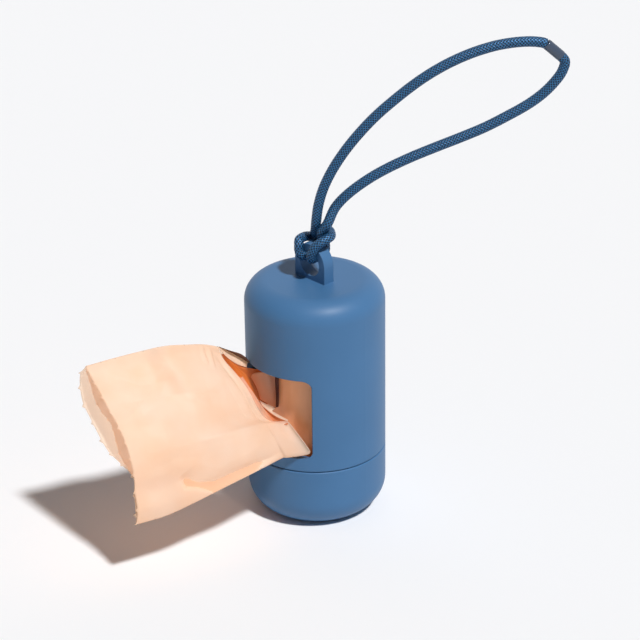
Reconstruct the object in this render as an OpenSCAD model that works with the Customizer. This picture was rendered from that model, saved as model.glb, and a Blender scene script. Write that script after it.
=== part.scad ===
// Dog poop bag dispenser: a twist-off plastic cylinder that holds a roll of bags,
// with a cord loop on its lug and one bag drawn out of the window.
// The origin is the centre of the base's underside, +Z is up and the window faces -Y.

/* [Body] */
// Outer diameter of the casing and of the base
body_d = 44.5; // [44:0.5:60]
// Height from the underside to the flat top, without the lug
body_h = 79.5; // [78:0.5:110]
// Thickness of the plastic wall
wall = 2.0; // [1.6:0.1:2.4]
// Radius round the top edge
top_r = 7.0; // [4:0.5:10]
// Radius round the bottom edge
foot_r = 9.8; // [7:0.2:10]
// Height of the inner floor that the roll stands on
floor_z = 3.6; // [3.4:0.1:5]
// Radius of the inner corner round the floor
floor_r = 4.0; // [3:0.5:5]
// Height of the joint line between the base and the casing
seam_z = 21.8; // [21:0.2:26]
// Gap at the joint line
seam_gap = 0.3; // [0.2:0.05:0.6]
// Rounding of the two lips at the joint line
lip_r = 0.35; // [0.2:0.05:0.6]

/* [Window] */
// Width of the window, straight across
window_w = 30; // [27:0.5:32]
// Height of the window
window_h = 27.4; // [26:0.2:34]
// Height of the window's sill above the joint line
sill_h = 4.8; // [4:0.2:6]
// Radius of the window's corners
window_r = 2.5; // [1.5:0.1:4]

/* [Lug] */
// Width of the lug
lug_w = 13; // [12:0.5:16]
// Thickness of the lug
lug_t = 4.0; // [3:0.1:4]
// Height of the lug above the flat top
lug_h = 12; // [11.5:0.1:12]
// Diameter of the hole for the cord
lug_hole_d = 8.3; // [8:0.1:9]

/* [Screw joint] */
// Depth that the casing's neck reaches into the base
neck_h = 10; // [9.6:0.2:11]
// Wall thickness of the neck
neck_wall = 1.5; // [1.2:0.1:1.6]
// Radial gap between the neck and the base's bore
neck_gap = 0.95; // [0.9:0.05:1.1]
// Height that the wide shoulder joins the neck to the casing over
shoulder_h = 2.2; // [1.6:0.1:3]
// Number of thread ridges round the joint
thread_starts = 3; // [2:1:4]
// Rise of the thread in one turn
thread_lead = 24; // [18:1:24]
// Angle that each ridge covers
thread_sweep = 80; // [50:5:80]
// Axial width of a ridge
thread_w = 1.6; // [1.2:0.1:1.8]
// Radial height of a ridge
thread_h = 0.72; // [0.6:0.02:0.8]
// Axial clearance between the base's ridges and the neck's
thread_gap = 0.25; // [0.2:0.05:0.4]

/* [Bag roll] */
// Radial gap between the wound film and the casing's neck
roll_clear = 1.3; // [1:0.1:4]
// Height of the roll, which is the width of the folded film
roll_h = 57; // [50:0.5:62]
// Outer diameter of the cardboard core
core_d = 14; // [12:0.5:18]
// Wall thickness of the core
core_wall = 0.8; // [0.6:0.1:1.5]
// Running clearance between the core and the film
core_gap = 0.1; // [0.05:0.05:0.2]
// Clearance under the roll
seat_gap = 0.3; // [0.2:0.1:0.5]

/* [Drawn bag] */
// Thickness of the bunched film at its folds
film_t = 0.8; // [0.6:0.1:1.2]
// Gap between the roll and the end of the drawn film
film_gap = 0.3; // [0.3:0.1:0.6]
// Distance that the bag's torn mouth stands out from the body
bag_reach = 53.8; // [46:0.2:64]
// Height of the bag's lower fold above the sill where it leaves the window
bag_clear = 1.9; // [1.6:0.1:2.5]
// Drop of the lower fold from the window to the mouth
bag_drop = 7.4; // [5:0.2:9]
// Distance that the lower fold swings to the left on its way to the mouth
bag_swing = 14.8; // [10:0.2:18]
// Height of the mouth, from its lower corner to its upper corner
mouth_h = 43; // [36:0.5:48]
// Distance that the mouth's upper corner leans to the left of its lower corner
mouth_lean = 26.5; // [20:0.5:30]
// Distance that the upper corner lies nearer to the body than the lower corner
mouth_skew = 5; // [2:0.5:8]
// Bow of the mouth's front layer
front_bow = 8.2; // [4:0.2:10]
// Bow of the mouth's back layer
back_bow = 7.7; // [4:0.2:9]
// Height of the ridge's top above the window
ridge_rise = 6.5; // [4:0.2:9]
// Distance that the ridge's top stands out from the body
ridge_out = 6.3; // [5:0.1:9]
// Rise of the upper fold between the ridge and the mouth
fold_crown = 4.4; // [2:0.2:6]

/* [Cord] */
// Diameter of the braided cord
cord_d = 3.2; // [2.6:0.1:3.2]
// Thickness that the cord loses where the hitch pulls it tight
knot_squeeze = 0.5; // [0.5:0.1:1]
// Diameter of the sleeve that joins the cord's ends
sleeve_d = 3.4; // [3.3:0.1:4.5]

/* [Hidden] */
body_blue = "#4c78a8";
cord_navy = "#163a63";
film_peach = "#f6cba8";
card_grey = "#c9b79c";
body_r = body_d / 2;
bore_r = body_r - wall;
neck_r = bore_r - neck_gap;
neck_bore_r = neck_r - neck_wall;
neck_z = seam_z - neck_h;
rim_z = seam_z - seam_gap / 2;
casing_z = seam_z + seam_gap / 2;
window_z = seam_z + sill_h;
roll_r = neck_bore_r - roll_clear;
roll_z = floor_z + seat_gap;
fuse = 0.4;       // depth that joined solids share
round_fn = 128;
corner_fn = 96;
side_fn = 64;
ridge_step = 5;   // angle between two sections of a ridge
ridge_slope = 0.3;
ridge_top_z = rim_z - 0.6;
// Lower edge of the base's ridges where they start; the neck's ridges run under them.
base_ridge_z = ridge_top_z - thread_w - thread_lead * thread_sweep / 360;
neck_ridge_z = base_ridge_z - thread_w - thread_gap;

// Half of a turned block: radius r, from z0 to z1, with rounded lower and upper edges.
module turned_half(r, z0, z1, low_r, high_r) {
    translate([0, z0 + low_r]) square([r, z1 - z0 - low_r - high_r]);
    if (low_r > 0) {
        translate([0, z0]) square([r - low_r, low_r]);
        intersection() {
            translate([r - low_r, z0 + low_r]) circle(low_r, $fn = corner_fn);
            translate([r - low_r, z0]) square(low_r);
        }
    }
    if (high_r > 0) {
        translate([0, z1 - high_r]) square([r - high_r, high_r]);
        intersection() {
            translate([r - high_r, z1 - high_r]) circle(high_r, $fn = corner_fn);
            translate([r - high_r, z1 - high_r]) square(high_r);
        }
    }
}

// One helical ridge that starts at angle a0 and height z0, from root_r to tip_r.
module ridge(a0, z0, root_r, tip_r) {
    steps = ceil(thread_sweep / ridge_step);
    section = [[root_r, 0], [tip_r, ridge_slope], [tip_r, thread_w - ridge_slope], [root_r, thread_w]];
    points = [
        for (i = [0:steps], s = section)
            let (turn = thread_sweep * i / steps)
            [
                s[0] * cos(a0 + turn),
                s[0] * sin(a0 + turn),
                z0 + s[1] + thread_lead * turn / 360
            ]
    ];
    sides = [
        for (i = [0:steps - 1], k = [0:3])
            let (a = 4 * i + k, b = 4 * i + (k + 1) % 4)
            each [[a, b, b + 4], [a, b + 4, a + 4]]
    ];
    first = [[0, 3, 2], [0, 2, 1]];
    last = [for (f = [[0, 1, 2], [0, 2, 3]]) [for (k = f) 4 * steps + k]];
    faces = concat(sides, first, last);
    polyhedron(points, tip_r > root_r ? faces : [for (f = faces) [f[2], f[1], f[0]]], convexity = 4);
}

// The ridges of one side of the joint, evenly spaced round it.
module ridges(z0, root_r, tip_r) {
    for (i = [0:thread_starts - 1]) ridge(360 * i / thread_starts, z0, root_r, tip_r);
}

// Screw-on base: a cup with a rounded foot and thread ridges inside its rim.
module base_cap() color(body_blue) {
    rotate_extrude($fn = round_fn) difference() {
        turned_half(body_r, 0, rim_z, foot_r, lip_r);
        turned_half(bore_r, floor_z, rim_z + 1, floor_r, 0);
    }
    ridges(base_ridge_z, bore_r + fuse, bore_r - thread_h);
}

// Outline of the window, with rounded corners, seen from the front.
module window_outline() {
    half = window_w / 2 - window_r;
    translate([-window_w / 2, window_z + window_r]) square([window_w, window_h - 2 * window_r]);
    translate([-half, window_z]) square([2 * half, window_h]);
    for (x = [-half, half], z = [window_z + window_r, window_z + window_h - window_r])
        translate([x, z]) circle(window_r, $fn = side_fn);
}

// Lug that stands on the flat top: an arched plate with a round hole on the arch's centre.
module lug() {
    arch_z = body_h + lug_h - lug_w / 2;
    difference() {
        union() {
            translate([-lug_w / 2, -lug_t / 2, body_h - wall / 2])
                cube([lug_w, lug_t, arch_z - body_h + wall / 2]);
            translate([0, lug_t / 2, arch_z]) rotate([90, 0, 0])
                cylinder(d = lug_w, h = lug_t, $fn = side_fn);
        }
        translate([0, lug_t / 2 + 1, arch_z]) rotate([90, 0, 0])
            cylinder(d = lug_hole_d, h = lug_t + 2, $fn = side_fn);
    }
}

// Casing: the domed shell with the window, the lug and the threaded neck.
module casing() color(body_blue) {
    difference() {
        rotate_extrude($fn = round_fn) difference() {
            union() {
                turned_half(body_r, casing_z, body_h, lip_r, top_r);
                translate([0, neck_z]) square([neck_r, neck_h + shoulder_h]);
            }
            turned_half(bore_r, casing_z + shoulder_h, body_h - wall, 0, top_r - wall);
            translate([0, neck_z - 1]) square([neck_bore_r, neck_h + shoulder_h + 2]);
        }
        translate([0, -body_r / 3, 0]) rotate([90, 0, 0])
            linear_extrude(body_r) window_outline();
    }
    lug();
    ridges(neck_ridge_z, neck_r - fuse, neck_r + thread_h);
}

// Cardboard tube that the bags are wound on.
module roll_core() color(card_grey)
    translate([0, 0, roll_z]) difference() {
        cylinder(d = core_d, h = roll_h, $fn = side_fn);
        translate([0, 0, -1]) cylinder(d = core_d - 2 * core_wall, h = roll_h + 2, $fn = side_fn);
    }

// Wound film of the bags that are left.
module film_roll() color(film_peach)
    translate([0, 0, roll_z]) difference() {
        cylinder(r = roll_r, h = roll_h, $fn = round_fn);
        translate([0, 0, -1])
            cylinder(r = core_d / 2 + core_gap, h = roll_h + 2, $fn = side_fn);
    }

// The bag that is drawn out: a flat tube of film that leaves the roll, folds over a slanting
// ridge at the window and gapes at its torn mouth.
film_y = -roll_r - film_gap;
face_y = -body_r;
low_z = window_z + bag_clear;
side_clear = 1.2;    // gap between the film's lower corner and the window's side
top_clear = 3.5;     // gap between the film's end and the window's top
tip_lift = 0.4;      // height of the film's lower corner above its lower fold
tip_turn = [2.3, 0.8];   // how far that corner turns over, to the side and outwards
ridge_in = 0.4;      // distance of the ridge's top inside the window's left side
ridge_depth = 3.2;   // depth of the film behind the ridge
bag_front = [0.842, 0, 0.539];   // way that its front faces
bag_across = 12;     // strips from the lower fold to the upper one
valley_rows = 4;     // rows from the roll to the ridge
bag_rows = 10;       // rows from the ridge to the mouth

// Corners of the film, at the roll, at the ridge and at the mouth.
end_low = [window_w / 2 - side_clear - tip_turn[0], film_y, low_z + tip_lift];
end_high = [top_clear - window_w / 2, film_y, window_z + window_h - top_clear];
ridge_low = [window_w / 2 - side_clear, film_y - tip_turn[1], low_z + tip_lift];
ridge_high = [ridge_in - window_w / 2, face_y - ridge_out, window_z + window_h + ridge_rise];
mouth_low = [ridge_low[0] - bag_swing, face_y - bag_reach, ridge_low[2] - bag_drop];
mouth_high = mouth_low + [-mouth_lean, mouth_skew, mouth_h];

// Smooth curve through points, at share t of the way.
function on_curve(p, t) =
    let (
        n = len(p) - 1,
        k = min(floor(t * n), n - 1),
        f = t * n - k,
        b = p[k],
        c = p[k + 1],
        a = k > 0 ? p[k - 1] : 2 * b - c,
        d = k < n - 1 ? p[k + 2] : 2 * c - b
    )
    b + ((c - a) * f + (2 * a - 5 * b + 4 * c - d) * f ^ 2 + (3 * (b - c) + d - a) * f ^ 3) / 2;

// Points between two corners, from their shares of the way along X, Y and Z.
function between(p, q, shares) =
    [for (s = shares) [for (i = [0:2]) p[i] + s[i] * (q[i] - p[i])]];

lower_fold = between(ridge_low, mouth_low, [
    [0, 0, 0], [0.28, 0.11, 0.09], [0.29, 0.35, 0.16], [0.46, 0.53, 0.45],
    [0.64, 0.73, 0.72], [1, 1, 1]
]);
upper_fold = concat(
    [ridge_high],
    [
        for (s = [[0.07, 0.3, 0.82], [0.19, 0.47, 1], [0.5, 0.61, 0.68], [0.7, 0.81, 0.45]])
            between(ridge_high, mouth_high, [[s[0], s[1], s[1]]])[0] + [0, 0, s[2] * fold_crown]
    ],
    [mouth_high]
);
ridge_line = between(ridge_low, ridge_high, [
    [0, 0, 0], [0.12, 0.12, 0.24], [0.32, 0.5, 0.31], [0.5, 0.7, 0.44], [0.59, 0.79, 0.6],
    [0.76, 0.88, 0.75], [1, 1, 1]
]);
hem = between(end_high, ridge_high, [[0, 0, 0], [0.3, 0.33, 0.22], [0.7, 0.7, 0.6], [1, 1, 1]]);

// Bow across the mouth, as shares of each layer's bow.
front_shares = [0, 0.42, 0.66, 0.88, 1, 0.97, 0.8, 0.6, 0.4, 0.18, 0];
back_shares = [0, 0.44, 0.68, 0.8, 0.1, -0.42, -0.68, -0.84, -1, -0.85, 0];

// Points of one row, from the lower fold to the upper one: the straight row from low to high,
// and what it takes from the edge before it and from the one after it.
function row(low, high, share, before, after) = [
    for (k = [0:bag_across])
        let (u = k / bag_across)
        low + u * (high - low) + (1 - share) * before[k] + share * after[k]
];
function bowed(shares, bow) = [
    for (k = [0:bag_across]) on_curve(shares, k / bag_across) * bow * bag_front
];
function off_chord(curve) = [
    for (k = [0:bag_across])
        let (u = k / bag_across)
        on_curve(curve, u) - curve[0] - u * (curve[len(curve) - 1] - curve[0])
];
straight = [for (k = [0:bag_across]) [0, 0, 0]];
ridge_bow = off_chord(ridge_line);
behind_ridge = bowed([0, -0.7, -1, -0.7, 0], ridge_depth);
front_rows = concat(
    [
        for (i = [0:valley_rows - 1])
            let (v = i / valley_rows)
            row(end_low + v * (ridge_low - end_low), on_curve(hem, v), v, straight, ridge_bow)
    ],
    [
        for (i = [0:bag_rows])
            let (v = i / bag_rows)
            row(on_curve(lower_fold, v), on_curve(upper_fold, v), v, ridge_bow,
                bowed(front_shares, front_bow))
    ]
);
back_rows = concat(
    [
        for (i = [0:valley_rows - 1])
            let (v = i / valley_rows)
            row(end_low + v * (ridge_low - end_low), on_curve(hem, v), v, straight, behind_ridge)
    ],
    [
        for (i = [0:bag_rows])
            let (v = i / bag_rows)
            row(on_curve(lower_fold, v), on_curve(upper_fold, v), v, behind_ridge,
                bowed(back_shares, back_bow))
    ]
);

// Two triangles over four corners.
function quad(a, b, c, d) = [[a, b, c], [a, c, d]];

// The same triangles with their other side out.
function turned_over(faces) = [for (f = faces) [f[2], f[1], f[0]]];

module drawn_bag() color(film_peach) {
    ring = 2 * (bag_across + 1);
    ends = len(front_rows) - 1;
    points = [
        for (i = [0:ends])
            each concat(
                [for (k = [0:bag_across]) front_rows[i][k] + film_t / 2 * bag_front],
                [for (k = [bag_across:-1:0]) back_rows[i][k] - film_t / 2 * bag_front]
            )
    ];
    sides = [
        for (i = [0:ends - 1], k = [0:ring - 1])
            let (a = ring * i + k, b = ring * i + (k + 1) % ring)
            each quad(a, a + ring, b + ring, b)
    ];
    inner = [for (k = [0:bag_across - 1]) each quad(k, k + 1, ring - 2 - k, ring - 1 - k)];
    mouth = [for (f = turned_over(inner)) [for (k = f) ring * ends + k]];
    polyhedron(points, concat(sides, inner, mouth), convexity = 6);
}

// The cord stands up from the lug in one upright plane. Points of its two strands are
// [distance from the body's axis, height], and those of the knot are [x, y, z].
lean = [0.695, 0.719];
upper_strand = [
    [70.6, 155.7], [69.0, 156.2], [65.5, 156.5], [60.4, 156.2], [54.5, 155.1],
    [47.5, 152.8], [40.1, 149.3], [32.7, 144.6], [25.2, 138.6], [18.3, 132.2],
    [11.8, 124.6], [6.8, 117.2], [3.4, 110.3], [1.6, 104.2]
];
knot = [
    [0.4, 0.8, 98.8], [-0.3, 1.2, 96.8], [-0.9, 1.6, 95.2], [-1.5, 2.0, 93.9], [-1.8, 2.9, 92.7],
    [-1.7, 3.5, 91.4], [-1.6, 3.5, 90.1], [-1.5, 3.5, 88.8], [-1.5, 3.0, 87.7], [-1.5, 1.9, 87.2],
    [-1.5, 0.4, 87.1], [-1.5, -1.1, 87.1], [-1.9, -2.7, 87.3], [-2.5, -3.6, 88.2],
    [-2.9, -3.7, 89.4], [-3.1, -3.5, 90.7], [-3.9, -2.6, 91.9], [-4.5, -0.9, 92.0],
    [-4.6, 1.0, 91.9], [-4.7, 3.0, 91.7], [-4.2, 4.9, 92.2], [-2.5, 5.8, 93.3], [-0.4, 5.8, 94.0],
    [1.6, 5.2, 94.4], [3.5, 4.0, 94.4], [5.0, 2.5, 94.4], [5.6, 0.7, 94.4], [5.3, -0.8, 94.0],
    [4.5, -2.1, 93.1], [3.7, -3.1, 92.0], [3.1, -3.6, 90.6], [2.6, -3.7, 89.2], [2.2, -3.4, 87.9],
    [1.7, -2.3, 87.2], [1.5, -0.9, 87.1], [1.5, 0.5, 87.1], [1.5, 1.9, 87.2], [1.5, 3.0, 87.7],
    [1.5, 3.5, 88.8], [1.5, 3.5, 90.2], [1.4, 3.4, 91.6], [1.3, 2.7, 92.8], [1.6, 1.7, 93.9],
    [2.2, 1.3, 95.2], [3.1, 1.7, 96.9], [4.1, 2.3, 98.8]
];
lower_strand = [
    [6.8, 103.3], [10.7, 107.7], [16.3, 112.1], [22.5, 115.9], [30, 119.6], [37.5, 122.8],
    [44.9, 125.8], [52.3, 129.0], [59.1, 132.6], [65.7, 136.5], [70.8, 140.6], [74.6, 145.1],
    [76.1, 148.2], [76.3, 150.2], [75.2, 151.7]
];
cord_sides = 8;
knot_ramp = 3;    // points that the cord thins over, at each end of the knot
function upright(strand) = [for (p = strand) [lean[0] * p[0], lean[1] * p[0], p[1]]];
route = concat(upright(upper_strand), knot, upright(lower_strand));
route_end = len(route) - 1;
knot_start = len(upper_strand);
knot_end = knot_start + len(knot) - 1;
function thickness(i) =
    cord_d - knot_squeeze * max(0, min(1, min(i - knot_start, knot_end - i) / knot_ramp));
function unit(v) = v / norm(v);
sleeve_axis = unit(route[0] - route[route_end]);
tangents = [
    for (i = [0:route_end])
        i == 0 || i == route_end ? sleeve_axis : unit(route[i + 1] - route[i - 1])
];
// Normal nearest to n that is square to t, so that the tube doesn't twist.
function carried(n, t) = unit(n - (n * t) * t);
normals = [
    for (
        i = 0, n = carried([0, 0, 1], tangents[0]);
        i <= route_end;
        i = i + 1, n = i <= route_end ? carried(n, tangents[i]) : n
    ) n
];

// Braided cord, from one end of the sleeve down to the lug, hitched round it and back.
module cord_loop() color(cord_navy) {
    s = cord_sides;
    points = [
        for (i = [0:route_end], k = [0:s - 1])
            let (a = 360 * k / s)
            route[i]
            + thickness(i) / 2 * (cos(a) * normals[i] + sin(a) * cross(tangents[i], normals[i]))
    ];
    sides = [
        for (i = [0:route_end - 1], k = [0:s - 1])
            let (a = s * i + k, b = s * i + (k + 1) % s)
            each quad(a, a + s, b + s, b)
    ];
    first = [for (k = [1:s - 2]) [0, k, k + 1]];
    last = [for (f = turned_over(first)) [for (k = f) s * route_end + k]];
    polyhedron(points, concat(sides, first, last), convexity = 8);
}

// Sleeve that the cord's two ends are fused in, with rounded rims.
module cord_sleeve() color(cord_navy) {
    length = norm(route[0] - route[route_end]);
    tilt = acos(sleeve_axis[2]);
    heading = atan2(sleeve_axis[1], sleeve_axis[0]);
    translate(route[route_end]) rotate([0, tilt, heading])
        rotate_extrude($fn = side_fn)
            turned_half(sleeve_d / 2, 0, length, lip_r, lip_r);
}

base_cap();
casing();
roll_core();
film_roll();
drawn_bag();
cord_loop();
cord_sleeve();
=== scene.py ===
import math
import bmesh
import bpy
from mathutils import Matrix, Vector, noise


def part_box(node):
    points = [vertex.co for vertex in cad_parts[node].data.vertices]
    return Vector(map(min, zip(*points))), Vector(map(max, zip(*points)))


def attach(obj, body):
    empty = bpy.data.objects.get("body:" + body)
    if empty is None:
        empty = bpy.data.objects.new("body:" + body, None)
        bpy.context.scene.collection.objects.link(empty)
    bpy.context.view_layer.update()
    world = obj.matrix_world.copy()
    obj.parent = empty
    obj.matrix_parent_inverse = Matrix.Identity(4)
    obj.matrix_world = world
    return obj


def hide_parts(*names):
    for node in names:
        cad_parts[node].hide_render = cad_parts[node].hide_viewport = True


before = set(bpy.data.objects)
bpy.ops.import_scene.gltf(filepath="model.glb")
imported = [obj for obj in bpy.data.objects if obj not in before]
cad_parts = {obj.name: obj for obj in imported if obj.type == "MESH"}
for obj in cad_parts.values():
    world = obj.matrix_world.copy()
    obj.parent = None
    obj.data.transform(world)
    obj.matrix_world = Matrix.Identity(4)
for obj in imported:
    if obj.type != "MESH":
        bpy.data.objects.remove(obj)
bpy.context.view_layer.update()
MM = 0.001

# Camera: a long lens that looks down on the dispenser from its front right, so that the
# window, the drawn bag and the whole cord loop are in view.
view_azimuth = math.radians(46.0)
view_elevation = math.radians(25.94)
view_distance = 770.7 * MM
view_height = 64.64 * MM
view_pan = math.radians(0.118)
view_roll = math.radians(-0.832)
focal_length = 137.07      # in mm, as the camera wants it
sensor_width = 36          # in mm too
nearest_seen = 0.01
lens = bpy.data.cameras.new("camera")
lens.lens = focal_length
lens.sensor_width = sensor_width
lens.clip_start = nearest_seen
camera = bpy.data.objects.new("camera", lens)
bpy.context.collection.objects.link(camera)
camera.matrix_world = (
    Matrix.Translation((0, 0, view_height))
    @ Matrix.Rotation(view_azimuth, 4, "Z")
    @ Matrix.Rotation(math.pi / 2 - view_elevation, 4, "X")
    @ Matrix.Translation((0, 0, view_distance))
    @ Matrix.Rotation(-view_pan, 4, "Y")
    @ Matrix.Rotation(view_roll, 4, "Z")
)
bpy.context.scene.camera = camera

# Cord loop: a round polyester braid over a soft core, 265 mm of it. It is doubled, passed
# through the lug and hitched on itself, and it is stiff enough to stand up in a loop.
# The yarns are drawn coarser than the real braid's, which would be too fine to show.
cord_r = 1.6 * MM
knot_squeeze = 0.08 * MM   # the hitch pulls the cord this much thinner on each side
knot_ramp = 5 * MM         # length that it thins over
cord_ring_step = 0.16 * MM
cord_sides = 48
yarns = 9                  # yarns that run each way round the braid
yarn_rise = 10             # of them in a length of cord equal to its girth
yarn_crown = 0.16 * MM     # height of a yarn over the gap beside it
girth = 2 * math.pi * cord_r
curve_parts = 24           # straight parts of a smooth curve between two of its points
weld_gap = 0.001 * MM      # points nearer than this are one

# Route of the cord's middle in mm. The two strands stand in one upright plane, so their
# points are (distance from the body's axis, height), and the hitch has (x, y, z).
lean = (0.695, 0.719)      # direction of that plane
upper_strand = [
    (70.6, 155.7), (69.0, 156.2), (65.5, 156.5), (60.4, 156.2), (54.5, 155.1),
    (47.5, 152.8), (40.1, 149.3), (32.7, 144.6), (25.2, 138.6), (18.3, 132.2),
    (11.8, 124.6), (6.8, 117.2), (3.4, 110.3), (1.6, 104.2),
]
knot = [
    # down the left, through the lug from the back, and up its front
    (0.4, 0.8, 98.8), (-0.3, 1.2, 96.8), (-0.9, 1.6, 95.2), (-1.5, 2.0, 93.9),
    (-1.8, 2.9, 92.7), (-1.7, 3.5, 91.4), (-1.6, 3.5, 90.1), (-1.5, 3.5, 88.8),
    (-1.5, 3.0, 87.7), (-1.5, 1.9, 87.2), (-1.5, 0.4, 87.1), (-1.5, -1.1, 87.1),
    (-1.9, -2.7, 87.3), (-2.5, -3.6, 88.2), (-2.9, -3.7, 89.4), (-3.1, -3.5, 90.7),
    # back over the lug's left side, and across behind the two strands
    (-3.9, -2.6, 91.9), (-4.5, -0.9, 92.0), (-4.6, 1.0, 91.9), (-4.7, 3.0, 91.3),
    (-4.2, 4.9, 91.4), (-2.5, 5.8, 92.3), (-0.4, 5.8, 93.2), (1.6, 5.2, 94.4),
    # round the right side, and down the lug's front
    (3.5, 4.0, 94.4), (5.0, 2.5, 94.4), (5.6, 0.7, 94.4), (5.3, -0.8, 94.0),
    (4.5, -2.1, 93.1), (3.7, -3.1, 92.0), (3.1, -3.6, 90.6), (2.6, -3.7, 89.2),
    (2.2, -3.4, 87.9), (1.7, -2.3, 87.2), (1.5, -0.9, 87.1), (1.5, 0.5, 87.1),
    # out at the back again, and up beside the first strand
    (1.5, 1.9, 87.2), (1.5, 3.0, 87.7), (1.5, 3.5, 88.8), (1.5, 3.5, 90.2),
    (1.4, 3.4, 91.6), (1.3, 2.7, 92.8), (1.6, 1.7, 93.9), (2.2, 1.3, 95.2),
    (3.1, 1.7, 96.9), (4.1, 2.3, 98.8),
]
lower_strand = [
    (6.8, 103.3), (10.7, 107.7), (16.3, 112.1), (22.5, 115.9), (30, 119.6), (37.5, 122.8),
    (44.9, 125.8), (52.3, 129.0), (59.1, 132.6), (65.7, 136.5), (70.8, 140.6), (74.6, 145.1),
    (76.1, 148.2), (76.3, 150.2), (75.2, 151.7),
]


def upright(strand):
    """Points of a strand as (x, y, z)."""
    return [(lean[0] * out, lean[1] * out, height) for out, height in strand]


def curve_point(a, b, c, d, t):
    """The point at share t of the way from b to c, on a smooth curve through a, b, c and d."""
    return 0.5 * (2 * b + (c - a) * t + (2 * a - 5 * b + 4 * c - d) * t * t
                  + (3 * b - a - 3 * c + d) * t ** 3)


def smooth_line(points, step):
    """A smooth curve through points, as points about step apart, ends included."""
    points = [Vector(p) for p in points]
    before = 2 * points[0] - points[1]
    after = 2 * points[-1] - points[-2]
    held = [before] + points + [after]
    fine = [points[0]]
    for a, b, c, d in zip(held, held[1:], held[2:], held[3:]):
        for k in range(1, curve_parts + 1):
            fine.append(curve_point(a, b, c, d, k / curve_parts))
    reached = [0.0]
    for p, q in zip(fine, fine[1:]):
        reached.append(reached[-1] + (q - p).length)
    count = max(1, round(reached[-1] / step))
    even = []
    k = 0
    for i in range(count + 1):
        goal = reached[-1] * i / count
        while k < len(fine) - 2 and reached[k + 1] < goal:
            k += 1
        share = (goal - reached[k]) / max(reached[k + 1] - reached[k], 1e-12)
        even.append(fine[k].lerp(fine[k + 1], min(1.0, share)))
    return even


def sweep_frames(line, first_side):
    """Tangent and two sides at each point of a line, without twist."""
    frames = []
    side = first_side
    for i, p in enumerate(line):
        tangent = (line[min(i + 1, len(line) - 1)] - line[max(i - 1, 0)]).normalized()
        side = (side - side.dot(tangent) * tangent).normalized()
        frames.append((tangent, side, tangent.cross(side)))
    return frames


def finish_mesh(bm, name, smooth=True):
    """Turns a bmesh into an object at the origin."""
    mesh = bpy.data.meshes.new(name)
    bm.to_mesh(mesh)
    bm.free()
    for polygon in mesh.polygons:
        polygon.use_smooth = smooth
    thing = bpy.data.objects.new(name, mesh)
    bpy.context.collection.objects.link(thing)
    return thing


def paint(thing, material):
    """Gives an object its one material."""
    thing.data.materials.clear()
    thing.data.materials.append(material)


def srgb(code):
    """Linear colour of an sRGB hex code."""
    levels = [int(code[i:i + 2], 16) / 255 for i in (1, 3, 5)]
    return [v / 12.92 if v <= 0.04045 else ((v + 0.055) / 1.055) ** 2.4 for v in levels] + [1]


def add(tree, kind, inputs=None, **settings):
    """Adds a node. An input is a value, or the output of another node."""
    node = tree.nodes.new(kind)
    for name, value in settings.items():
        setattr(node, name, value)
    for socket, value in (inputs or {}).items():
        if isinstance(value, bpy.types.NodeSocket):
            tree.links.new(value, node.inputs[socket])
        else:
            node.inputs[socket].default_value = value
    return node


def new_material(name):
    """A new material and its empty node tree."""
    material = bpy.data.materials.new(name)
    material.use_nodes = True
    material.node_tree.nodes.clear()
    return material, material.node_tree


def braid_height(turn, along):
    """Height of the braid's surface, from 0 to 1: the crests of the yarns that run both ways."""
    crests = [math.sin(2 * math.pi * (yarns * turn + way * yarn_rise * along / girth))
              for way in (1, -1)]
    return 0.5 + 0.5 * max(crests)


def nearest_ring(p):
    """Number of the cord's ring that lies nearest to a point."""
    return min(range(len(cord_line)), key=lambda i: (cord_line[i] - p).length)


route = [Vector(p) * MM for p in upright(upper_strand) + knot + upright(lower_strand)]
cord_line = smooth_line(route, cord_ring_step)
cord_frames = sweep_frames(cord_line, Vector((0, 0, 1)))
cord_rings = len(cord_line) - 1
knot_first = nearest_ring(Vector(knot[0]) * MM)
knot_last = nearest_ring(Vector(knot[-1]) * MM)

# A flat grid is rolled up round the line: x goes round the cord and y along it.
bm = bmesh.new()
uv = bm.loops.layers.uv.new("UVMap")
bmesh.ops.create_grid(bm, x_segments=cord_sides, y_segments=cord_rings, size=1)
for face in bm.faces:
    for corner in face.loops:
        x, y = corner.vert.co.x, corner.vert.co.y
        corner[uv].uv = ((x + 1) / 2, (y + 1) / 2 * cord_rings * cord_ring_step / girth)
for vert in bm.verts:
    turn = (vert.co.x + 1) / 2
    ring = round((vert.co.y + 1) / 2 * cord_rings)
    tangent, side, other = cord_frames[ring]
    angle = 2 * math.pi * turn
    into_knot = min(ring - knot_first, knot_last - ring) * cord_ring_step
    tight = min(1.0, max(0.0, into_knot / knot_ramp))
    r = cord_r - knot_squeeze * tight
    r -= yarn_crown * (1 - braid_height(turn, ring * cord_ring_step))
    vert.co = cord_line[ring] + r * (math.cos(angle) * side + math.sin(angle) * other)
bmesh.ops.remove_doubles(bm, verts=bm.verts, dist=weld_gap)
bmesh.ops.holes_fill(bm, edges=[e for e in bm.edges if e.is_boundary], sides=0)
bmesh.ops.recalc_face_normals(bm, faces=bm.faces)
cord_loop = finish_mesh(bm, "braided_cord")

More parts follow.
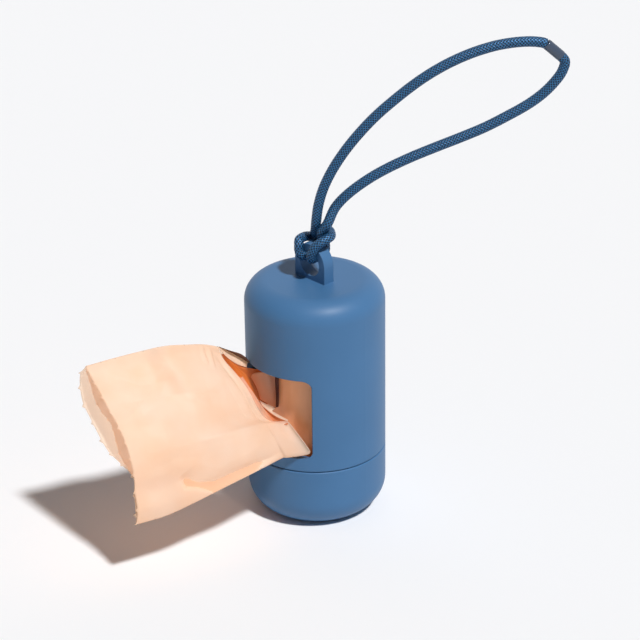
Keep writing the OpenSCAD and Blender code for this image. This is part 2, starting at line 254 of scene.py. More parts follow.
# Polyester braid: shiny filaments in tight yarns. Its colour paints a blue glint on each yarn's
# crest and painted shade, nearly black, in the gaps between yarns. The yarns' waves are those of
# braid_height, and a fine noise makes the painted glints and the relief uneven.
round_waves = 2 * math.pi * yarns
along_waves = 2 * math.pi * yarn_rise
glints = 26                # patches of uneven glint round the cord, and in as much length
braid, tree = new_material("polyester_braid")
place = add(tree, "ShaderNodeUVMap", uv_map="UVMap")
one_way = add(tree, "ShaderNodeVectorMath", {
    0: place.outputs["UV"], 1: (round_waves, along_waves, 0)}, operation="DOT_PRODUCT")
other_way = add(tree, "ShaderNodeVectorMath", {
    0: place.outputs["UV"], 1: (round_waves, -along_waves, 0)}, operation="DOT_PRODUCT")
crest = add(tree, "ShaderNodeMath", {0: one_way.outputs["Value"]}, operation="SINE")
other_crest = add(tree, "ShaderNodeMath", {0: other_way.outputs["Value"]}, operation="SINE")
top_yarn = add(tree, "ShaderNodeMath", {
    0: crest.outputs["Value"], 1: other_crest.outputs["Value"]}, operation="MAXIMUM")
spread = add(tree, "ShaderNodeMapping", {"Vector": place.outputs["UV"],
                                         "Scale": (glints, glints, 1)})
glint = add(tree, "ShaderNodeTexNoise", {"Vector": spread.outputs["Vector"], "Scale": 1.2,
                                         "Detail": 3.0, "Roughness": 0.6})
yarn_relief_and_painted_glint = add(tree, "ShaderNodeMath", {0: top_yarn.outputs["Value"], 1: glint.outputs["Fac"]},
            operation="MULTIPLY")
# Painted glint and painted shade: yarn crests are painted light blue, and the gaps between yarns
# nearly black.
tone = add(tree, "ShaderNodeValToRGB", {"Fac": yarn_relief_and_painted_glint.outputs["Value"]})
tone.color_ramp.elements[0].position = 0.06
tone.color_ramp.elements[0].color = srgb("#071a2d")
tone.color_ramp.elements[1].position = 0.58
tone.color_ramp.elements[1].color = srgb("#3f82b8")
middle = tone.color_ramp.elements.new(0.32)
middle.color = srgb("#113c60")
relief = add(tree, "ShaderNodeBump", {"Height": yarn_relief_and_painted_glint.outputs["Value"], "Strength": 0.7,
                                      "Distance": 0.1 * MM})
shade = add(tree, "ShaderNodeBsdfPrincipled", {
    "Base Color": tone.outputs["Color"], "Roughness": 0.36, "Metallic": 0.3,
    "Specular IOR Level": 0.4, "Normal": relief.outputs["Normal"]})
add(tree, "ShaderNodeOutputMaterial", {"Surface": shade.outputs["BSDF"]})
paint(cord_loop, braid)
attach(cord_loop, "casing")
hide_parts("cord_loop")

# Cord sleeve: a short heat-shrink tube where the two ends of the cord are fused. It is
# smooth and glossy, and its rims are drawn in on the braid.
sleeve_r = 1.68 * MM
sleeve_bore = cord_r * 0.9
sleeve_rim_r = 1.52 * MM
sleeve_rim = 0.5 * MM      # length of the drawn-in rim
sleeve_lip = 0.12 * MM     # roundness of the rim's edge
sleeve_shoulder = 0.05 * MM
sleeve_sides = 64
sleeve_start = route[-1]
sleeve_axis = (route[0] - route[-1]).normalized()
sleeve_length = (route[0] - route[-1]).length
sleeve_profile = [
    (sleeve_bore, 0), (sleeve_rim_r, 0), (sleeve_rim_r + sleeve_lip, 0.12 * sleeve_rim),
    (sleeve_r - sleeve_shoulder, 0.6 * sleeve_rim), (sleeve_r, 1.3 * sleeve_rim),
    (sleeve_r * 0.985, 0.3 * sleeve_length), (sleeve_r * 0.99, 0.5 * sleeve_length),
    (sleeve_r * 0.98, 0.72 * sleeve_length), (sleeve_r, sleeve_length - 1.3 * sleeve_rim),
    (sleeve_r - sleeve_shoulder, sleeve_length - 0.6 * sleeve_rim),
    (sleeve_rim_r + sleeve_lip, sleeve_length - 0.12 * sleeve_rim),
    (sleeve_rim_r, sleeve_length), (sleeve_bore, sleeve_length),
]


def turned(bm, profile, segments):
    """Spins a profile of (radius, height) points all round the Z axis."""
    verts = [bm.verts.new((r, 0, z)) for r, z in profile]
    edges = [bm.edges.new(pair) for pair in zip(verts, verts[1:])]
    bmesh.ops.spin(bm, geom=verts + edges, axis=(0, 0, 1), cent=(0, 0, 0),
                   angle=2 * math.pi, steps=segments, use_merge=True)
    bmesh.ops.remove_doubles(bm, verts=bm.verts, dist=weld_gap / 2)


bm = bmesh.new()
turned(bm, sleeve_profile, sleeve_sides)
bmesh.ops.holes_fill(bm, edges=[e for e in bm.edges if e.is_boundary], sides=0)
bmesh.ops.recalc_face_normals(bm, faces=bm.faces)
bmesh.ops.transform(bm, verts=bm.verts, matrix=Matrix.Translation(sleeve_start)
                    @ sleeve_axis.to_track_quat("Z", "Y").to_matrix().to_4x4())
cord_sleeve = finish_mesh(bm, "shrink_sleeve")

# Heat-shrink polyolefin: smooth and dark, so it mirrors the lamp in one sharp glint that
# the yarns under it make a little wavy.
ripples = 900.0            # in a metre, so they are about 1 mm apart
shrink, tree = new_material("heat_shrink_polyolefin")
place = add(tree, "ShaderNodeTexCoord")
ripple = add(tree, "ShaderNodeTexNoise", {"Vector": place.outputs["Object"], "Scale": ripples,
                                          "Detail": 2.0})
relief = add(tree, "ShaderNodeBump", {"Height": ripple.outputs["Fac"], "Strength": 0.25,
                                      "Distance": 0.06 * MM})
shade = add(tree, "ShaderNodeBsdfPrincipled", {
    "Base Color": srgb("#14304d"), "Roughness": 0.13, "Specular IOR Level": 1.0,
    "Normal": relief.outputs["Normal"]})
add(tree, "ShaderNodeOutputMaterial", {"Surface": shade.outputs["BSDF"]})
paint(cord_sleeve, shrink)
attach(cord_sleeve, "casing")
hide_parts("cord_sleeve")

# Casing: the domed upper shell, injection moulded in ABS with the lug, the window and the
# threaded neck in one piece. Its satin face comes from a fine spark-eroded mould.
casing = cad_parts["casing"]

# Moulded ABS: an even steel blue with a soft, wide highlight. Its edges catch the light as
# if they were rounded by a third of a millimetre. The mould's grain is under 0.1 mm, and
# it is drawn at 0.4 mm so that it shows at all.
grains = 2600.0            # in a metre
clouds = 45.0              # faint flow marks in a metre, about 20 mm across
edge_round = 0.35 * MM
satin, tree = new_material("moulded_abs_satin")
place = add(tree, "ShaderNodeTexCoord")
grain = add(tree, "ShaderNodeTexNoise", {"Vector": place.outputs["Object"], "Scale": grains,
                                         "Detail": 2.0, "Roughness": 0.5})
cloud = add(tree, "ShaderNodeTexNoise", {"Vector": place.outputs["Object"], "Scale": clouds,
                                         "Detail": 2.0, "Roughness": 0.5})
tone = add(tree, "ShaderNodeValToRGB", {"Fac": cloud.outputs["Fac"]})
tone.color_ramp.elements[0].position = 0.25
tone.color_ramp.elements[0].color = srgb("#406b95")
tone.color_ramp.elements[1].position = 0.75
tone.color_ramp.elements[1].color = srgb("#44709b")
gloss = add(tree, "ShaderNodeMapRange", {"Value": cloud.outputs["Fac"], "To Min": 0.42,
                                         "To Max": 0.5})
rounded = add(tree, "ShaderNodeBevel", {"Radius": edge_round}, samples=6)
relief = add(tree, "ShaderNodeBump", {"Height": grain.outputs["Fac"], "Strength": 0.35,
                                      "Distance": 0.02 * MM, "Normal": rounded.outputs["Normal"]})
shade = add(tree, "ShaderNodeBsdfPrincipled", {
    "Base Color": tone.outputs["Color"], "Roughness": gloss.outputs["Result"],
    "Specular IOR Level": 0.3, "Normal": relief.outputs["Normal"]})
add(tree, "ShaderNodeOutputMaterial", {"Surface": shade.outputs["BSDF"]})
paint(casing, satin)

# Base cap: the screw-on cup with the rounded foot, moulded in the same ABS. It holds the
# roll, and its rim meets the casing in the joint line.
base_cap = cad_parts["base_cap"]
paint(base_cap, satin)

# Roll core: a tube of grey-brown cardboard, wound from a glued strip and cut square. The
# strip of bags is wound on it.
roll_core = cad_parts["roll_core"]

# Spiral-wound cardboard: matt all over, with pale and dark clumps of fibre.
fibres = 1400.0            # clumps in a metre, about 0.7 mm across
card, tree = new_material("spiral_wound_cardboard")
place = add(tree, "ShaderNodeTexCoord")
fibre = add(tree, "ShaderNodeTexNoise", {"Vector": place.outputs["Object"], "Scale": fibres,
                                         "Detail": 4.0, "Roughness": 0.7})
tone = add(tree, "ShaderNodeValToRGB", {"Fac": fibre.outputs["Fac"]})
tone.color_ramp.elements[0].color = srgb("#a8977b")
tone.color_ramp.elements[1].color = srgb("#dccbb0")
relief = add(tree, "ShaderNodeBump", {"Height": fibre.outputs["Fac"], "Strength": 0.4,
                                      "Distance": 0.05 * MM})
shade = add(tree, "ShaderNodeBsdfPrincipled", {
    "Base Color": tone.outputs["Color"], "Roughness": 0.85, "Normal": relief.outputs["Normal"]})
add(tree, "ShaderNodeOutputMaterial", {"Surface": shade.outputs["BSDF"]})
paint(roll_core, card)

# Film roll: the bags that are left, one long strip of folded film wound tight on the core.
# Its two ends show the edges of the layers, and the wound face is slightly uneven.
roll_low, roll_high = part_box("film_roll")
roll_r = roll_high[0]
roll_z0 = roll_low[2]
roll_z1 = roll_high[2]
roll_hole_r = 7.1 * MM
layer_pitch = 0.62 * MM    # drawn far coarser than the film, so that the layers show
layer_depth = 0.16 * MM
wall_rows = 60             # rows of faces up the wound face
roll_sides = 180
hollows_round = 3          # shallow hollows of the wound face, in a radian
hollows_up = 30            # and in a metre of height
hollow_depth = 0.12 * MM
layers = int((roll_r - roll_hole_r) / layer_pitch)
layer_radii = [roll_hole_r + (roll_r - roll_hole_r) * i / layers for i in range(layers + 1)]
lower_end = [(r, roll_z0 + layer_depth * (i % 2)) for i, r in enumerate(layer_radii)]
wound_face = [(roll_r, roll_z0 + (roll_z1 - roll_z0) * i / wall_rows)
              for i in range(1, wall_rows)]
upper_end = [(r, roll_z1 - layer_depth * (i % 2)) for i, r in enumerate(layer_radii)]
roll_profile = lower_end + wound_face + upper_end[::-1] + lower_end[:1]
bm = bmesh.new()
turned(bm, roll_profile, roll_sides)
for vert in bm.verts:
    r = math.hypot(vert.co.x, vert.co.y)
    if r > roll_r - 0.01 * MM:
        angle = math.atan2(vert.co.y, vert.co.x)
        wave = noise.noise(Vector((hollows_round * math.cos(angle),
                                   hollows_round * math.sin(angle), vert.co.z * hollows_up)))
        sunk = hollow_depth * (1 + wave)
        vert.co.x *= 1 - sunk / r
        vert.co.y *= 1 - sunk / r
bmesh.ops.recalc_face_normals(bm, faces=bm.faces)
wound_roll = finish_mesh(bm, "wound_film")

# Wound polythene: many layers of film lie on each other here, so the light that gets into
# them comes back as a deeper orange than the colour of one layer.
streak_scale = 160.0       # streaks in a metre round the roll, about 6 mm across
streak_stretch = 0.25      # they are four times as long up the roll
wound, tree = new_material("wound_polythene_film")
place = add(tree, "ShaderNodeTexCoord")
streaks = add(tree, "ShaderNodeMapping", {"Vector": place.outputs["Object"],
                                          "Scale": (1, 1, streak_stretch)})
haze = add(tree, "ShaderNodeTexNoise", {"Vector": streaks.outputs["Vector"],
                                        "Scale": streak_scale, "Detail": 3.0,
                                        "Roughness": 0.5})
tone = add(tree, "ShaderNodeValToRGB", {"Fac": haze.outputs["Fac"]})
tone.color_ramp.elements[0].position = 0.3
tone.color_ramp.elements[0].color = srgb("#eb9f6c")
tone.color_ramp.elements[1].position = 0.7
tone.color_ramp.elements[1].color = srgb("#f8b587")
relief = add(tree, "ShaderNodeBump", {"Height": haze.outputs["Fac"], "Strength": 0.2,
                                      "Distance": 0.3 * MM})
shade = add(tree, "ShaderNodeBsdfPrincipled", {
    "Base Color": tone.outputs["Color"], "Roughness": 0.38, "Normal": relief.outputs["Normal"]})
add(tree, "ShaderNodeOutputMaterial", {"Surface": shade.outputs["BSDF"]})
paint(wound_roll, wound)
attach(wound_roll, "roll")
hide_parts("film_roll")

# Drawn bag: the first bag of the strip, pulled out of the window and let go. It is a flat
# tube of two film layers. It bunches up in the window, folds over there, and gapes at its
# mouth, which was torn off along a line of punched slits.
film_thickness = 0.1 * MM  # drawn thicker than the film, so that its edges show
flat_width = 57 * MM       # of the folded tube, as wound on the roll

# Edges of the two layers in mm: the folds along the tube's sides, the ridge where the
# front layer turns into the window, and the torn mouth of each layer.
tip = (14.8, -17.1, 29.6)
ridge_top = (-14.6, -28.5, 60.5)
mouth_low = (-1, -76, 21.5)
mouth_high = (-27.5, -71, 64.5)
lower_fold = [tip, (14.1, -17.1, 28.5), (12.9, -18.6, 28.1), (10.4, -23.2, 28.2),
              (9.6, -24.2, 28.2), (9.4, -30, 27.9), (9.5, -38.5, 27.7), (7, -48.3, 25.6),
              (5.5, -58.4, 24.3), (2.1, -66.2, 21.9), mouth_low]
upper_fold = [ridge_top, (-15, -34.5, 63.2), (-15.5, -41.2, 65.3), (-17, -48.5, 66.9),
              (-21, -54.6, 65.9), (-23.6, -63.1, 65.7), mouth_high]
ridge = [tip, (14.4, -17.6, 30.9), (11.6, -18.4, 34.2), (8, -19.2, 37.8), (7.2, -19.6, 38.4),
         (6.2, -20.4, 38.5), (3.4, -23, 38.6), (0.9, -24.2, 39.9), (-1.2, -25, 43),
         (-3.6, -26, 48), (-7.3, -27, 52.3), (-13.1, -28.1, 57), ridge_top]
front_mouth = [mouth_low, (-0.4, -75.6, 26.4), (-1.9, -75.1, 31.2), (-2.6, -74.6, 37),
               (-4.5, -74, 42.8), (-7.9, -73.4, 48), (-13.2, -72.8, 52.6), (-18.6, -72.1, 57),
               (-24.3, -71.4, 61.4), mouth_high]
back_mouth = [mouth_low, (-1.5, -75.6, 26.4), (-2.4, -75.1, 31.2), (-3.1, -74.6, 36.7),
              (-9.4, -74.1, 38.8), (-16.4, -73.6, 41), (-24.5, -72.6, 47.7),
              (-29.2, -71.9, 52.6), (-30.5, -71.2, 59.9), mouth_high]
back_start = [tip, (9, -19, 32), (3, -22, 38), (-5, -23, 46), (-13, -24, 54), ridge_top]

# Lines down the film that fills the window, from its top edge to its bottom edge: the wall
# behind the ridge, and the pipe-like pleat in front of that wall.
wall_lines = [
    [(-14.8, -27, 57), (-12, -25.5, 52), (-6.9, -24, 45.8), (-3.6, -22.5, 41.1),
     (-2, -21.5, 37.7)],
    [(-13.6, -26.8, 57.4), (-10.8, -24.3, 52.4), (-7.6, -22.3, 47.5), (-5.1, -21, 43.2),
     (-3.5, -20.5, 40.8)],
    [(-12, -25, 55.2), (-9.6, -21.8, 50.4), (-6.8, -20.2, 46.9), (-4.5, -19.4, 43.5),
     (-3.2, -19, 40.7)],
    [(-9.7, -21.2, 52.2), (-6.6, -19.4, 50.3), (-4.6, -18.4, 47.1), (-2.8, -18, 44),
     (-2.2, -17.8, 40.4)],
    [(-0.7, -17.2, 52.4), (-0.7, -17.1, 48.7), (-0.7, -17.1, 45.5), (-0.7, -17.1, 42.3),
     (-0.7, -17.1, 39.3)],
]
pleat_lines = [
    [(-7.9, -20.8, 49.1), (-6.4, -20.6, 47.2), (-5.3, -20.4, 45.1), (-4.6, -20.2, 42.7)],
    [(-6.9, -21, 50.8), (-5.3, -21, 48.6), (-4.2, -20.8, 45.8), (-3.6, -20.6, 42.6)],
    [(-4.4, -21, 52.2), (-2.6, -21, 49.8), (-1.8, -20.6, 46.1), (-1.9, -20, 42)],
    [(-1.3, -20.2, 53), (-0.3, -19.9, 49.6), (-0.1, -19.4, 45.6), (-0.6, -18.8, 40.9)],
    [(-0.2, -17.6, 51.6), (-0.2, -17.5, 47.6), (-0.2, -17.4, 43.7), (-0.3, -17.4, 39.7)],
]
# Strip that folds back over the wall's top edge, and the flap behind it, which is painted dark
# brown as shade.
hem_lines = [
    [(-14.4, -28.3, 60.2), (-12.9, -26.6, 56.9), (-11, -24, 54), (-9.2, -21.4, 52.4)],
    [(-14.6, -28.2, 60.4), (-14.1, -24.3, 57.5), (-12.2, -22.3, 55.7), (-10.1, -20, 53.6)],
]
flap_lines = [
    [(-14.6, -28.2, 60.3), (-14.1, -24.3, 57.4), (-12.2, -22.3, 55.6), (-10.1, -20, 53.5)],
    [(-14.2, -28, 60.2), (-12.2, -25.1, 58.5), (-10.2, -23.1, 57.5), (-9, -21.9, 56.2),
     (-8.1, -20.9, 54.3)],
]
# Strip of film across the crevice between the pleat's right edge and the roll, painted dark brown
# as shade.
crevice_lines = [
    [(-0.2, -17.7, 52.4), (-0.2, -17.6, 47.6), (-0.2, -17.5, 43.7), (-0.3, -17.5, 39.9)],
    [(0.8, -16.9, 53), (0.7, -16.9, 48), (0.6, -16.9, 44), (0.3, -16.9, 40.1)],
]
# Bottom edge of the film: a torn zigzag strip, and the pocket under it, which share a line.
pocket_rim = [(-3.8, -21, 42.1), (-2.5, -21, 40.8), (-1.3, -20.6, 40), (0.1, -20.4, 39.4),
              (3.5, -20.2, 38.8), (7, -19.4, 38.4)]
zigzag_lines = [
    [(-4.1, -20.8, 42.2), (-1.9, -19.8, 41.3), (0.3, -18.4, 40.3), (-0.5, -19.1, 39.4),
     (2.6, -18.9, 38.8), (6.7, -18.9, 38.6)],
    pocket_rim,
]
pocket_lines = [
    pocket_rim,
    [(-3.2, -20.8, 41.4), (-1.8, -20.6, 39.6), (0.1, -20.4, 38.3), (2.6, -20.4, 37.6),
     (5.2, -20.2, 37.6), (7.4, -19.6, 38)],
    [(-2.7, -21.6, 41.4), (-0.8, -22.6, 39.2), (0.8, -23, 37.8), (2.9, -22.8, 37.2),
     (5.7, -21.4, 37.4), (7.8, -20, 37.8)],
]
# Front ply's curled edge at the mouth, up to where it is torn.
curl_lines = [
    [mouth_high, (-24.3, -71.4, 61.4), (-18.6, -72.1, 57), (-13.2, -72.8, 52.6), (-7.9, -73.4, 48),
     (-4.5, -74, 42.8), (-2.6, -74.6, 37)],
    [(-27.3, -71.1, 62.5), (-25.1, -71.5, 59.5), (-22.5, -72.1, 55), (-18.8, -72.5, 52.1),
     (-14.2, -72.9, 49.8), (-9.5, -73.9, 41.5), (-3.3, -74.5, 37.5)],
]

# Creases of the front layer: (u, v) points along each, its height and the width of its two
# sides in mm. u goes from the lower fold to the upper one, v from the window to the mouth.
reach_out = 52 * MM        # of the front layer, from the ridge to the mouth
crease_ends = 5            # a crease fades out over the first and last fifth of its length
crease_hollow = 1.15       # above 1, its sides are hollow
broad_crumple = 0.55       # height in mm of the uneven film between the creases
fine_crumple = 0.2
calm_start = 8             # the crumples grow over the first eighth beside the window
calm_sides = 12            # and over a twelfth beside each fold
creases = [
    ([(0.2, 0.74), (0.13, 0.71), (0.03, 0.57), (0.03, 0.34), (0.05, 0.14)], -2.0, 6.5, 1.8),
    ([(0.22, 0.02), (0.34, 0.4), (0.42, 1.0)], 1.5, 15, 15),
    ([(0.62, 0.2), (0.68, 0.5), (0.74, 1.0)], -1.1, 13, 12),
    ([(0.99, 0.15), (0.84, 0.2)], 0.5, 1.2, 1.6),
    ([(0.99, 0.08), (0.8, 0.17)], 0.6, 1.1, 1.8),
    ([(0.93, 0.045), (0.77, 0.06), (0.55, 0.055), (0.28, 0.07)], -0.5, 1.2, 1.6),
    ([(0.3, 0.05), (0.2, 0.1), (0.1, 0.06)], 0.35, 1.6, 2.6),
    ([(0.77, 0.07), (0.66, 0.3), (0.62, 0.5)], 0.35, 3, 5),
    ([(0.25, 0.18), (0.33, 0.4), (0.4, 0.62)], 0.3, 3, 5),
    ([(0.6, 0.98), (0.73, 0.7), (0.9, 0.5)], 0.4, 5, 3),
    ([(0.3, 0.98), (0.32, 0.75), (0.25, 0.6)], -0.35, 5, 3),
    ([(0.93, 0.9), (0.8, 0.72), (0.78, 0.5)], -0.3, 3, 5),
]
nib_pitch = 5.6 * MM       # from one uncut bridge of the punched line to the next
nib_half_width = 0.75 * MM
nib_height = 1.2 * MM
nib_stray = 0.18           # of the pitch
nib_hollow = 1.4           # above 1, its sides are hollow
edge_step = 0.25 * MM      # between two points of an edge


def edge(points):
    """An edge of the film, as a function of the share of the way along it."""
    line = smooth_line([Vector(p) * MM for p in points], edge_step)

    def at(share):
        reach = min(max(share, 0.0), 1.0) * (len(line) - 1)
        k = min(int(reach), len(line) - 2)
        return line[k].lerp(line[k + 1], reach - k)
    return at


def panel(start, end, low, high):
    """A film surface between four edges. u goes from low to high, v from start to end."""
    def at(u, v):
        corners = ((1 - u) * (1 - v) * start(0) + u * (1 - v) * start(1)
                   + (1 - u) * v * end(0) + u * v * end(1))
        return (1 - v) * start(u) + v * end(u) + (1 - u) * low(v) + u * high(v) - corners
    return at


def through(lines):
    """A film surface through lines. u goes along them, v from the first to the last."""
    edges = [edge(points) for points in lines]

    def at(u, v):
        crossing = [line(u) / MM for line in edges]
        if len(crossing) == 2:
            return crossing[0].lerp(crossing[1], v) * MM
        reach = v * (len(crossing) - 1)
        k = min(int(reach), len(crossing) - 2)
        b, c = crossing[k], crossing[k + 1]
        a = crossing[k - 1] if k > 0 else 2 * b - c
        d = crossing[k + 2] if k < len(crossing) - 2 else 2 * c - b
        return curve_point(a, b, c, d, reach - k) * MM
    return at


def add_film(bm, at, across, along, clear=0.0, bunched_and_shaded=(0, 0), nibs=0.0, shift=0.0):
    """Adds a film surface to a bmesh as an even grid, with torn nibs on its last row.

    clear is the share of light that passes straight through, bunched_and_shaded how deep the
    colour is painted at its two sides, for layers and painted shade, nibs their height, and
    shift their place along the edge.
    """
    grid = bmesh.ops.create_grid(bm, x_segments=across, y_segments=along, size=1)
    for vert in grid["verts"]:
        u, v = (vert.co.x + 1) / 2, (vert.co.y + 1) / 2
        vert.co = at(u, v)
        vert[clearness] = clear
        vert[layers_and_painted_shade] = bunched_and_shaded[0] + (bunched_and_shaded[1] - bunched_and_shaded[0]) * u
        if nibs > 0 and v > 0.999:
            out = (vert.co - at(u, 0.98)).normalized()  # away from the film beside the edge
            vert.co += out * nibs * nib(u * flat_width + shift)


def nib(place):
    """Share of the full nib height at a place along a torn edge."""
    k = round(place / nib_pitch)
    centre = (k + nib_stray * noise.noise(Vector((k * 3.7, 0.5, 0)))) * nib_pitch
    point = max(0.0, 1 - abs(place - centre) / nib_half_width)
    return point ** nib_hollow * (0.75 + 0.5 * noise.noise(Vector((k * 2.3, 9.5, 0))))


def crease_height(u, v):
    """How far the film stands out along its normal at a place on the front layer."""
    here = Vector((u * flat_width, v * reach_out))
    total = 0.0
    for points, height, one_side, other_side in creases:
        nearest = None
        for k in range(len(points) - 1):
            a = Vector((points[k][0] * flat_width, points[k][1] * reach_out))
            b = Vector((points[k + 1][0] * flat_width, points[k + 1][1] * reach_out))
            t = min(1.0, max(0.0, (here - a).dot(b - a) / (b - a).length_squared))
            gap = here - a.lerp(b, t)
            if nearest is None or gap.length < nearest[0]:
                turn = (b - a).x * gap.y - (b - a).y * gap.x
                nearest = (gap.length, turn, (k + t) / (len(points) - 1))
        distance, turn, along = nearest
        width = (one_side if turn > 0 else other_side) * MM
        fade = min(1.0, crease_ends * along, crease_ends * (1 - along))
        total += height * MM * fade * max(0.0, 1 - distance / width) ** crease_hollow
    calm = min(1.0, calm_start * v) * min(1.0, calm_sides * u, calm_sides * (1 - u))
    broad = noise.noise(Vector((u * 3.1, v * 2.9, 4.2)))
    fine = noise.noise(Vector((u * 9.0, v * 8.0, 1.7)))
    return total + calm * (broad_crumple * broad + fine_crumple * fine) * MM


low_edge = edge(lower_fold)
high_edge = edge(upper_fold)
front = panel(edge(ridge), edge(front_mouth), low_edge, high_edge)
back = panel(edge(back_start), edge(back_mouth), low_edge, high_edge)


def creased_front(u, v):
    """The front layer with its creases, which stand out along its normal."""
    step = 0.01
    along_u = front(min(1, u + step), v) - front(max(0, u - step), v)
    along_v = front(u, min(1, v + step)) - front(u, max(0, v - step))
    normal = along_u.cross(along_v).normalized()
    return front(u, v) + crease_height(u, v) * normal


bm = bmesh.new()
clearness = bm.verts.layers.float.new("clearness")
layers_and_painted_shade = bm.verts.layers.float.new("layers_and_painted_shade")
add_film(bm, creased_front, 120, 140, clear=0.1, nibs=nib_height)
add_film(bm, back, 110, 90, clear=0.5, nibs=nib_height, shift=2.4 * MM)
bmesh.ops.remove_doubles(bm, verts=bm.verts, dist=10 * weld_gap)
add_film(bm, through(curl_lines), 70, 8, clear=0.2, nibs=nib_height, shift=1.3 * MM)
# These values paint shade into the colour: deep orange in the window's folds, partly for the
# layers and partly painted shade, and dark brown for painted shade on the crevice and the flap.
add_film(bm, through(wall_lines), 44, 44, bunched_and_shaded=(0.78, 0.86))
add_film(bm, through(pleat_lines), 30, 30, bunched_and_shaded=(0.5, 0.6))
add_film(bm, through(hem_lines), 34, 10, bunched_and_shaded=(0.05, 0.2))
add_film(bm, through(crevice_lines), 30, 4, bunched_and_shaded=(1, 1))
add_film(bm, through(flap_lines), 30, 10, bunched_and_shaded=(1, 1))
add_film(bm, through(zigzag_lines), 40, 6)
add_film(bm, through(pocket_lines), 40, 20, bunched_and_shaded=(0.7, 0.7))
bmesh.ops.recalc_face_normals(bm, faces=bm.faces)
drawn_bag = finish_mesh(bm, "drawn_bag_film")
skin = drawn_bag.modifiers.new("film", "SOLIDIFY")
skin.thickness = film_thickness
skin.offset = 0

# Polythene film: thin and half clear, so light that passes through one layer lights the
# next one in orange. Each layer is shaded once, on the side that the light or the eye meets.
# Where the film is bunched up in the window, its colour is painted deep orange, partly the colour
# of many layers and partly painted shade; the crevice strip and the flap are painted dark brown as
# shade.
hazes = 70.0               # cloudy patches in a metre, about 14 mm across
crinkles = 260.0           # fine crinkles in a metre, about 4 mm apart
film, tree = new_material("polythene_film")
place = add(tree, "ShaderNodeTexCoord")
haze = add(tree, "ShaderNodeTexNoise", {"Vector": place.outputs["Object"], "Scale": hazes,
                                        "Detail": 3.0, "Roughness": 0.5})
tone = add(tree, "ShaderNodeValToRGB", {"Fac": haze.outputs["Fac"]})
tone.color_ramp.elements[0].position = 0.3
tone.color_ramp.elements[0].color = srgb("#fde4ca")
tone.color_ramp.elements[1].position = 0.7
tone.color_ramp.elements[1].color = srgb("#fff3e2")
# Painted shade: bunched film is painted deep orange, partly for its many layers and partly for the
# shade that falls in the window's folds.
bunched_and_shaded = add(tree, "ShaderNodeAttribute", attribute_name="layers_and_painted_shade")
layer_and_shade_share = add(tree, "ShaderNodeMapRange", {"Value": bunched_and_shaded.outputs["Fac"], "From Max": 0.8})
deep = add(tree, "ShaderNodeMixRGB", {"Fac": layer_and_shade_share.outputs["Result"],
                                      "Color1": tone.outputs["Color"], "Color2": srgb("#c5621c")})
# Painted shade: values above 0.85 turn the colour dark brown, on the crevice strip and the flap.
dark = add(tree, "ShaderNodeMapRange", {"Value": bunched_and_shaded.outputs["Fac"], "From Min": 0.85,
                                        "To Max": 1.0})
crevice = add(tree, "ShaderNodeMixRGB", {"Fac": dark.outputs["Result"],
                                         "Color1": deep.outputs["Color"],
                                         "Color2": srgb("#451205")})
crinkle = add(tree, "ShaderNodeTexNoise", {"Vector": place.outputs["Object"],
                                           "Scale": crinkles, "Detail": 3.0,
                                           "Roughness": 0.55})
relief = add(tree, "ShaderNodeBump", {"Height": crinkle.outputs["Fac"], "Strength": 0.12,
                                      "Distance": 0.3 * MM})
shade = add(tree, "ShaderNodeBsdfPrincipled", {
    "Base Color": crevice.outputs["Color"], "Roughness": 0.45, "Normal": relief.outputs["Normal"],
    "Specular IOR Level": 0.3})
glow = add(tree, "ShaderNodeBsdfTranslucent", {"Color": srgb("#ffcb9a")})
passed = add(tree, "ShaderNodeMapRange", {"Value": bunched_and_shaded.outputs["Fac"], "To Min": 0.42,
                                          "To Max": 0.06})
mixed = add(tree, "ShaderNodeMixShader", {"Fac": passed.outputs["Result"],
                                          1: shade.outputs["BSDF"], 2: glow.outputs["BSDF"]})
clear = add(tree, "ShaderNodeBsdfTransparent", {"Color": srgb("#ffe9d8")})
share = add(tree, "ShaderNodeAttribute", attribute_name="clearness")
veil = add(tree, "ShaderNodeMixShader", {"Fac": share.outputs["Fac"], 1: mixed.outputs["Shader"],
                                         2: clear.outputs["BSDF"]})
inner = add(tree, "ShaderNodeBsdfTransparent")
face = add(tree, "ShaderNodeNewGeometry")
once = add(tree, "ShaderNodeMixShader", {"Fac": face.outputs["Backfacing"],
                                         1: veil.outputs["Shader"], 2: inner.outputs["BSDF"]})
add(tree, "ShaderNodeOutputMaterial", {"Surface": once.outputs["Shader"]})
paint(drawn_bag, film)
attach(drawn_bag, "casing")
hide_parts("drawn_bag")

# Floor: a plain pale board that the dispenser stands on. It is wide enough to fill the
# view, and only the lamp's shadow shows on it.
floor_reach = 6            # in metres, from the middle to each side
bm = bmesh.new()
bmesh.ops.create_grid(bm, x_segments=1, y_segments=1, size=floor_reach)
floor = finish_mesh(bm, "floor", smooth=False)

# Matt white board: it gives no highlight, so the floor stays even.
board, tree = new_material("pale_board")
shade = add(tree, "ShaderNodeBsdfPrincipled", {"Base Color": srgb("#f5f5f6"), "Roughness": 0.9,
                                               "Specular IOR Level": 0.1})
add(tree, "ShaderNodeOutputMaterial", {"Surface": shade.outputs["BSDF"]})
paint(floor, board)

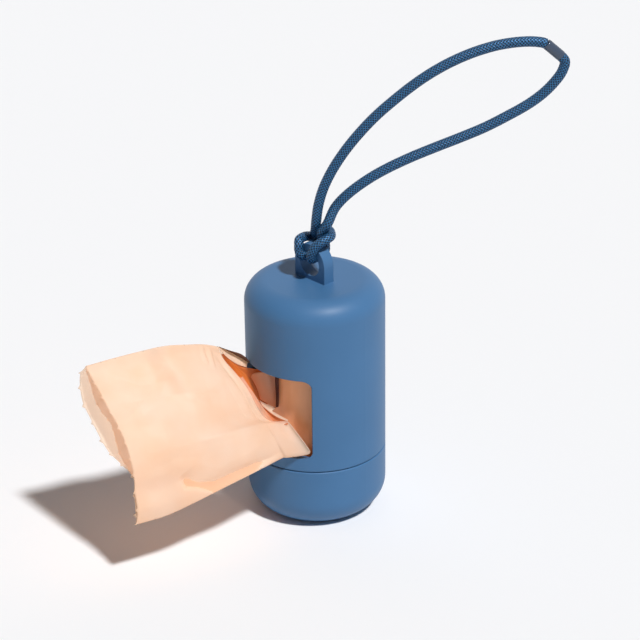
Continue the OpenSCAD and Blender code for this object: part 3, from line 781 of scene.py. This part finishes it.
# Studio light: one broad lamp high on the right, a white wall at the back, and a weak fill
# from all round.
lamp_azimuth = math.radians(-6)
lamp_elevation = math.radians(55)
lamp_energy = 3.35
lamp_spread = math.radians(5)
wall_azimuth = math.radians(136)
wall_direction = (math.cos(wall_azimuth) * 0.9, math.sin(wall_azimuth) * 0.9, 0.44)
wall_edge = 0.55           # cosine of the angle from its middle at which it begins
wall_full = 0.95           # and at which it has its full strength
fill_strength = 0.07
wall_strength = 0.5
lamp = bpy.data.lights.new("key", "SUN")
lamp.energy = lamp_energy
lamp.angle = lamp_spread
key = bpy.data.objects.new("key", lamp)
bpy.context.collection.objects.link(key)
to_lamp = Vector((math.cos(lamp_elevation) * math.cos(lamp_azimuth),
                  math.cos(lamp_elevation) * math.sin(lamp_azimuth), math.sin(lamp_elevation)))
key.matrix_world = to_lamp.to_track_quat("Z", "Y").to_matrix().to_4x4()
world = bpy.data.worlds.new("studio")
world.use_nodes = True
bpy.context.scene.world = world
tree = world.node_tree
tree.nodes.clear()
path = add(tree, "ShaderNodeLightPath")
place = add(tree, "ShaderNodeTexCoord")
towards_wall = add(tree, "ShaderNodeVectorMath", {
    0: place.outputs["Generated"], 1: wall_direction}, operation="DOT_PRODUCT")
level = add(tree, "ShaderNodeMapRange", {
    "Value": towards_wall.outputs["Value"], "From Min": wall_edge, "From Max": wall_full,
    "To Min": fill_strength, "To Max": wall_strength}, interpolation_type="SMOOTHSTEP")
fill = add(tree, "ShaderNodeBackground", {"Color": srgb("#f2f5fa"),
                                          "Strength": level.outputs["Result"]})

# The eye sees a plain pale background instead, straight, through clear film and in
# reflections, and it adds nothing to the soft light.
seen = add(tree, "ShaderNodeBackground", {"Color": srgb("#f4f4f6"), "Strength": 1.0})
clear_view = add(tree, "ShaderNodeMath", {0: path.outputs["Is Camera Ray"],
                                          1: path.outputs["Is Transmission Ray"]},
                 operation="MAXIMUM")
direct = add(tree, "ShaderNodeMath", {0: clear_view.outputs["Value"],
                                      1: path.outputs["Is Glossy Ray"]}, operation="MAXIMUM")
sky = add(tree, "ShaderNodeMixShader", {"Fac": direct.outputs["Value"], 1: fill.outputs[0],
                                        2: seen.outputs[0]})
add(tree, "ShaderNodeOutputWorld", {"Surface": sky.outputs["Shader"]})
bpy.context.scene.view_settings.view_transform = "Standard"

bpy.context.view_layer.update()
